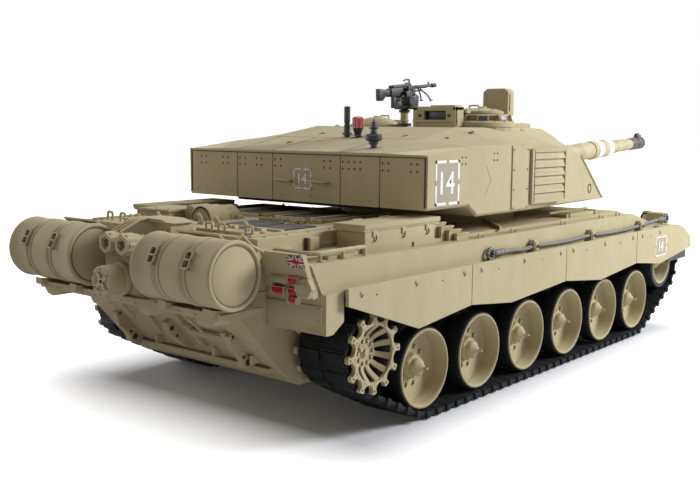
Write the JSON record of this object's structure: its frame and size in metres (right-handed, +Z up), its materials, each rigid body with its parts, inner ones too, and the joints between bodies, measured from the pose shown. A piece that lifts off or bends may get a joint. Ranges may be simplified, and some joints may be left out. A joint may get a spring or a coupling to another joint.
{
  "type": "radio-controlled toy tank",
  "caption": "Radio-controlled toy battle tank in sand yellow, with link tracks, sprung wheels, side skirts, rear drums, turning turret and elevating gun.",
  "frame": {"origin": "on the ground, under the middle of the whole tank's bounding box", "axes": "+X forward along the hull, +Y to the tank's left, +Z up"},
  "size_m": [0.699, 0.228, 0.2042],
  "materials": {
    "sand": "satin sand-yellow moulded plastic",
    "track_black": "matt black moulded links",
    "dark_metal": "blackened metal",
    "cable_steel": "dark twisted cable",
    "dark_plastic": "dark grey plastic",
    "battery_blue": "shrink sleeve",
    "board_green": "circuit board",
    "lamp_red": "tinted clear plastic"
  },
  "bodies": {
    "hull": {"hull_tub": "sand", "hull_deck": "sand", "skirt_right": "sand", "skirt_left": "sand", "fuel_drum_right": "sand", "fuel_drum_left": "sand", "tow_cable_right": "cable_steel", "tow_cable_left": "cable_steel", "track_right": "track_black", "track_left": "track_black", "battery_door": "sand", "battery_pack": "battery_blue", "control_board": "board_green", "speaker": "dark_plastic", "gearbox_right": "dark_plastic", "gearbox_left": "dark_plastic", "turret_gearbox": "dark_plastic"},
    "turret": {"turret_shell": "sand", "turret_base": "sand", "elevation_gearbox": "dark_plastic", "commander_cupola": "sand", "aerial_base": "dark_plastic", "ir_receiver": "lamp_red", "antenna_stub": "sand"},
    "mantlet": {"gun_mantlet": "sand"},
    "barrel": {"gun_barrel": "sand"},
    "commander_hatch": {"commander_hatch": "sand"},
    "loader_hatch": {"loader_hatch": "sand"},
    "mg_mount": {"mg_mount": "dark_metal"},
    "machine_gun": {"machine_gun": "dark_metal"},
    "panoramic_sight": {"panoramic_sight": "dark_plastic"},
    "power_switch": {"power_switch": "dark_plastic"},
    "sprocket_right": {"sprocket_right": "sand"},
    "idler_right": {"idler_right": "sand"},
    "arm_right_1": {"swing_arm_right_1": "dark_metal"},
    "wheel_right_1": {"road_wheel_right_1": "sand"},
    "arm_right_2": {"swing_arm_right_2": "dark_metal"},
    "wheel_right_2": {"road_wheel_right_2": "sand"},
    "arm_right_3": {"swing_arm_right_3": "dark_metal"},
    "wheel_right_3": {"road_wheel_right_3": "sand"},
    "arm_right_4": {"swing_arm_right_4": "dark_metal"},
    "wheel_right_4": {"road_wheel_right_4": "sand"},
    "arm_right_5": {"swing_arm_right_5": "dark_metal"},
    "wheel_right_5": {"road_wheel_right_5": "sand"},
    "arm_right_6": {"swing_arm_right_6": "dark_metal"},
    "wheel_right_6": {"road_wheel_right_6": "sand"},
    "sprocket_left": {"sprocket_left": "sand"},
    "idler_left": {"idler_left": "sand"},
    "arm_left_1": {"swing_arm_left_1": "dark_metal"},
    "wheel_left_1": {"road_wheel_left_1": "sand"},
    "arm_left_2": {"swing_arm_left_2": "dark_metal"},
    "wheel_left_2": {"road_wheel_left_2": "sand"},
    "arm_left_3": {"swing_arm_left_3": "dark_metal"},
    "wheel_left_3": {"road_wheel_left_3": "sand"},
    "arm_left_4": {"swing_arm_left_4": "dark_metal"},
    "wheel_left_4": {"road_wheel_left_4": "sand"},
    "arm_left_5": {"swing_arm_left_5": "dark_metal"},
    "wheel_left_5": {"road_wheel_left_5": "sand"},
    "arm_left_6": {"swing_arm_left_6": "dark_metal"},
    "wheel_left_6": {"road_wheel_left_6": "sand"}
  },
  "joints": [
    {"name": "turret_turn", "type": "hinge", "parent": "hull", "child": "turret", "pos_m": [-0.0487, 0, 0.115], "axis": [0, 0, 1], "continuous": true},
    {"name": "gun_elevation", "type": "hinge", "parent": "turret", "child": "mantlet", "pos_m": [0.0763, 0, 0.139], "axis": [0, -1, 0], "range_deg": [-5, 12]},
    {"name": "gun_recoil", "type": "slide", "parent": "mantlet", "child": "barrel", "axis": [0.9984, 0, 0.0558], "range_m": [-0.008, 0]},
    {"name": "commander_hatch_hinge", "type": "hinge", "parent": "turret", "child": "commander_hatch", "pos_m": [-0.0691, -0.042, 0.181], "axis": [0, -1, 0], "range_deg": [0, 90]},
    {"name": "loader_hatch_hinge", "type": "hinge", "parent": "turret", "child": "loader_hatch", "pos_m": [-0.0527, 0.0655, 0.1716], "axis": [-1, 0, 0], "range_deg": [0, 90]},
    {"name": "mg_swivel", "type": "hinge", "parent": "turret", "child": "mg_mount", "pos_m": [-0.0547, 0.0185, 0.1701], "axis": [0, 0, 1], "range_deg": [-90, 90]},
    {"name": "mg_elevation", "type": "hinge", "parent": "mg_mount", "child": "machine_gun", "pos_m": [-0.0547, 0.0185, 0.1965], "axis": [0, -1, 0], "range_deg": [-10, 15]},
    {"name": "sight_turn", "type": "hinge", "parent": "turret", "child": "panoramic_sight", "pos_m": [-0.0087, -0.0365, 0.1701], "axis": [0, 0, 1], "continuous": true},
    {"name": "power_switch_slide", "type": "slide", "parent": "hull", "child": "power_switch", "axis": [1, 0, 0], "range_m": [0, 0.005]},
    {"name": "sprocket_right_spin", "type": "hinge", "parent": "hull", "child": "sprocket_right", "pos_m": [-0.2522, -0.0905, 0.0488], "axis": [0, 1, 0], "continuous": true},
    {"name": "idler_right_spin", "type": "hinge", "parent": "hull", "child": "idler_right", "pos_m": [0.1548, -0.0905, 0.0546], "axis": [0, 1, 0], "continuous": true},
    {"name": "arm_right_1_swing", "type": "hinge", "parent": "hull", "child": "arm_right_1", "pos_m": [-0.17835, -0.0683, 0.04234], "axis": [0, 1, 0], "range_deg": [0, 12]},
    {"name": "wheel_right_1_spin", "type": "hinge", "parent": "arm_right_1", "child": "wheel_right_1", "pos_m": [-0.1987, -0.0905, 0.02962], "axis": [0, 1, 0], "continuous": true},
    {"name": "arm_right_2_swing", "type": "hinge", "parent": "hull", "child": "arm_right_2", "pos_m": [-0.11855, -0.0683, 0.04234], "axis": [0, 1, 0], "range_deg": [0, 12]},
    {"name": "wheel_right_2_spin", "type": "hinge", "parent": "arm_right_2", "child": "wheel_right_2", "pos_m": [-0.1389, -0.0905, 0.02962], "axis": [0, 1, 0], "continuous": true},
    {"name": "arm_right_3_swing", "type": "hinge", "parent": "hull", "child": "arm_right_3", "pos_m": [-0.05875, -0.0683, 0.04234], "axis": [0, 1, 0], "range_deg": [0, 12]},
    {"name": "wheel_right_3_spin", "type": "hinge", "parent": "arm_right_3", "child": "wheel_right_3", "pos_m": [-0.0791, -0.0905, 0.02962], "axis": [0, 1, 0], "continuous": true},
    {"name": "arm_right_4_swing", "type": "hinge", "parent": "hull", "child": "arm_right_4", "pos_m": [0.00105, -0.0683, 0.04234], "axis": [0, 1, 0], "range_deg": [0, 12]},
    {"name": "wheel_right_4_spin", "type": "hinge", "parent": "arm_right_4", "child": "wheel_right_4", "pos_m": [-0.0193, -0.0905, 0.02962], "axis": [0, 1, 0], "continuous": true},
    {"name": "arm_right_5_swing", "type": "hinge", "parent": "hull", "child": "arm_right_5", "pos_m": [0.06085, -0.0683, 0.04234], "axis": [0, 1, 0], "range_deg": [0, 12]},
    {"name": "wheel_right_5_spin", "type": "hinge", "parent": "arm_right_5", "child": "wheel_right_5", "pos_m": [0.0405, -0.0905, 0.02962], "axis": [0, 1, 0], "continuous": true},
    {"name": "arm_right_6_swing", "type": "hinge", "parent": "hull", "child": "arm_right_6", "pos_m": [0.12065, -0.0683, 0.04234], "axis": [0, 1, 0], "range_deg": [0, 12]},
    {"name": "wheel_right_6_spin", "type": "hinge", "parent": "arm_right_6", "child": "wheel_right_6", "pos_m": [0.1003, -0.0905, 0.02962], "axis": [0, 1, 0], "continuous": true},
    {"name": "sprocket_left_spin", "type": "hinge", "parent": "hull", "child": "sprocket_left", "pos_m": [-0.2522, 0.0905, 0.0488], "axis": [0, 1, 0], "continuous": true},
    {"name": "idler_left_spin", "type": "hinge", "parent": "hull", "child": "idler_left", "pos_m": [0.1548, 0.0905, 0.0546], "axis": [0, 1, 0], "continuous": true},
    {"name": "arm_left_1_swing", "type": "hinge", "parent": "hull", "child": "arm_left_1", "pos_m": [-0.17835, 0.0683, 0.04234], "axis": [0, 1, 0], "range_deg": [0, 12]},
    {"name": "wheel_left_1_spin", "type": "hinge", "parent": "arm_left_1", "child": "wheel_left_1", "pos_m": [-0.1987, 0.0905, 0.02962], "axis": [0, 1, 0], "continuous": true},
    {"name": "arm_left_2_swing", "type": "hinge", "parent": "hull", "child": "arm_left_2", "pos_m": [-0.11855, 0.0683, 0.04234], "axis": [0, 1, 0], "range_deg": [0, 12]},
    {"name": "wheel_left_2_spin", "type": "hinge", "parent": "arm_left_2", "child": "wheel_left_2", "pos_m": [-0.1389, 0.0905, 0.02962], "axis": [0, 1, 0], "continuous": true},
    {"name": "arm_left_3_swing", "type": "hinge", "parent": "hull", "child": "arm_left_3", "pos_m": [-0.05875, 0.0683, 0.04234], "axis": [0, 1, 0], "range_deg": [0, 12]},
    {"name": "wheel_left_3_spin", "type": "hinge", "parent": "arm_left_3", "child": "wheel_left_3", "pos_m": [-0.0791, 0.0905, 0.02962], "axis": [0, 1, 0], "continuous": true},
    {"name": "arm_left_4_swing", "type": "hinge", "parent": "hull", "child": "arm_left_4", "pos_m": [0.00105, 0.0683, 0.04234], "axis": [0, 1, 0], "range_deg": [0, 12]},
    {"name": "wheel_left_4_spin", "type": "hinge", "parent": "arm_left_4", "child": "wheel_left_4", "pos_m": [-0.0193, 0.0905, 0.02962], "axis": [0, 1, 0], "continuous": true},
    {"name": "arm_left_5_swing", "type": "hinge", "parent": "hull", "child": "arm_left_5", "pos_m": [0.06085, 0.0683, 0.04234], "axis": [0, 1, 0], "range_deg": [0, 12]},
    {"name": "wheel_left_5_spin", "type": "hinge", "parent": "arm_left_5", "child": "wheel_left_5", "pos_m": [0.0405, 0.0905, 0.02962], "axis": [0, 1, 0], "continuous": true},
    {"name": "arm_left_6_swing", "type": "hinge", "parent": "hull", "child": "arm_left_6", "pos_m": [0.12065, 0.0683, 0.04234], "axis": [0, 1, 0], "range_deg": [0, 12]},
    {"name": "wheel_left_6_spin", "type": "hinge", "parent": "arm_left_6", "child": "wheel_left_6", "pos_m": [0.1003, 0.0905, 0.02962], "axis": [0, 1, 0], "continuous": true}
  ],
  "couplings": [
    {"joint": "idler_right_spin", "follows": "sprocket_right_spin", "ratio": 0.922},
    {"joint": "wheel_right_1_spin", "follows": "sprocket_right_spin", "ratio": 0.8179},
    {"joint": "wheel_right_2_spin", "follows": "sprocket_right_spin", "ratio": 0.8179},
    {"joint": "wheel_right_3_spin", "follows": "sprocket_right_spin", "ratio": 0.8179},
    {"joint": "wheel_right_4_spin", "follows": "sprocket_right_spin", "ratio": 0.8179},
    {"joint": "wheel_right_5_spin", "follows": "sprocket_right_spin", "ratio": 0.8179},
    {"joint": "wheel_right_6_spin", "follows": "sprocket_right_spin", "ratio": 0.8179},
    {"joint": "idler_left_spin", "follows": "sprocket_left_spin", "ratio": 0.922},
    {"joint": "wheel_left_1_spin", "follows": "sprocket_left_spin", "ratio": 0.8179},
    {"joint": "wheel_left_2_spin", "follows": "sprocket_left_spin", "ratio": 0.8179},
    {"joint": "wheel_left_3_spin", "follows": "sprocket_left_spin", "ratio": 0.8179},
    {"joint": "wheel_left_4_spin", "follows": "sprocket_left_spin", "ratio": 0.8179},
    {"joint": "wheel_left_5_spin", "follows": "sprocket_left_spin", "ratio": 0.8179},
    {"joint": "wheel_left_6_spin", "follows": "sprocket_left_spin", "ratio": 0.8179}
  ]
}
